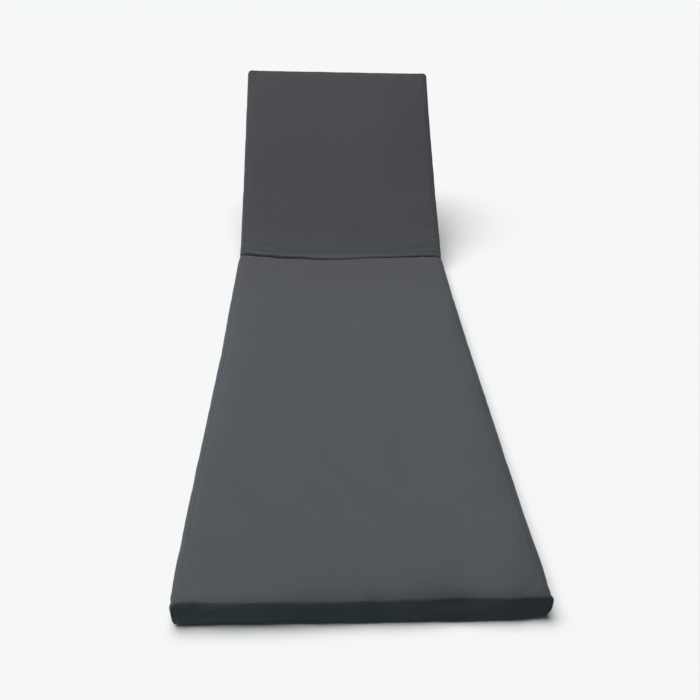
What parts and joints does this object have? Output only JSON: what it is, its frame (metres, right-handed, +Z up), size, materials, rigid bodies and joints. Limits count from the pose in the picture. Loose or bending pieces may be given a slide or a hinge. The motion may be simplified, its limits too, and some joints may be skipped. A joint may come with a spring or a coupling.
{
  "type": "sun lounger cushion",
  "caption": "Long foam-filled pad in a boxed fabric cover, folded once so that the back section rises from a flat seat section.",
  "frame": {"origin": "middle of the box that holds the pad, on the surface that the seat section lies on", "axes": "+Y along the pad from the foot end to the head end, +X across it to the right of someone looking from the foot end, +Z up"},
  "size_m": [0.6044, 1.8836, 0.4442],
  "materials": {
    "cover_fabric": "matt charcoal polyester, fine plain weave"
  },
  "bodies": {
    "root": {"cushion": "cover_fabric"}
  },
  "joints": []
}
